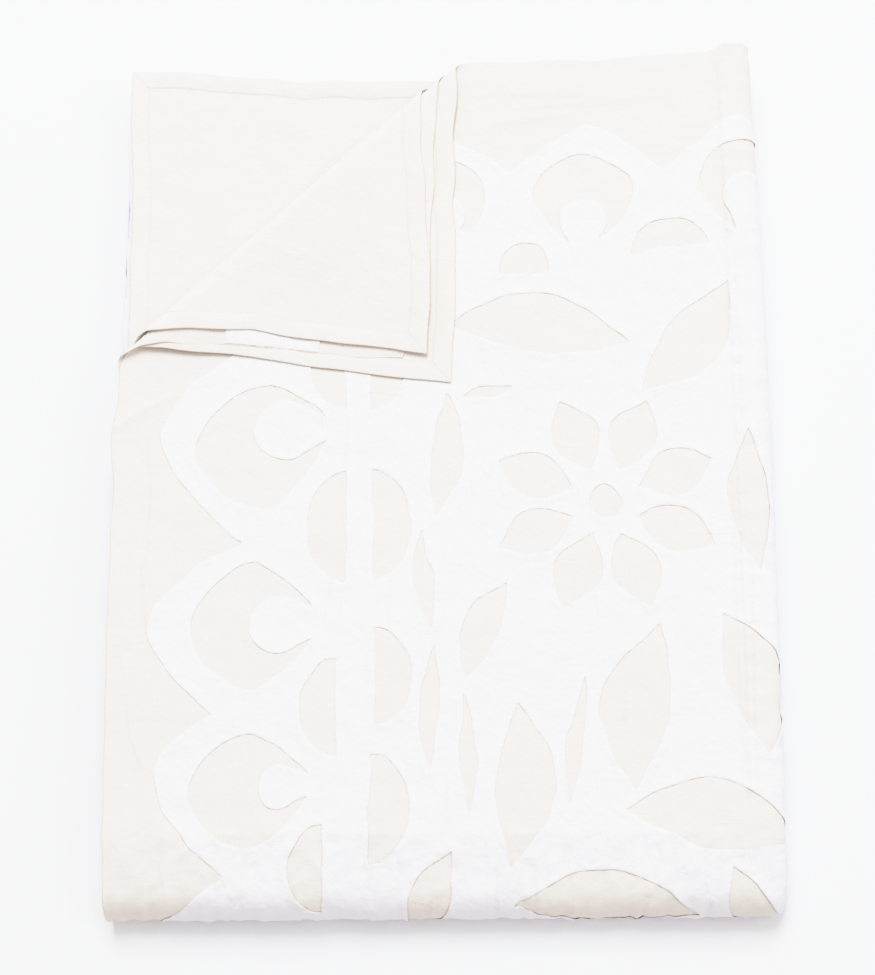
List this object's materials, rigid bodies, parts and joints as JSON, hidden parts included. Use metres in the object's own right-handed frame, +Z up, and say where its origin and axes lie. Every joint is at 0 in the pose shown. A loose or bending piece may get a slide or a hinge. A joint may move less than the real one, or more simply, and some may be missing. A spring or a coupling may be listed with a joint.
{
  "type": "applique bedspread",
  "caption": "Natural cotton bedspread with white cut-work applique, folded into a flat pack with one corner turned back.",
  "frame": {"origin": "centre of the pack's footprint, on the surface it lies on", "axes": "+Z up; +Y along the long sides, towards the hemmed back edge; +X towards the folded right side"},
  "size_m": [0.5418, 0.7236, 0.0587],
  "materials": {
    "natural_cotton": "matt plain weave with small slubs and dark flecks",
    "white_cotton": "matt fine plain weave, slightly puckered"
  },
  "bodies": {
    "root": {"ground_cloth": "natural_cotton", "cutwork_cloth": "white_cotton"}
  },
  "joints": []
}
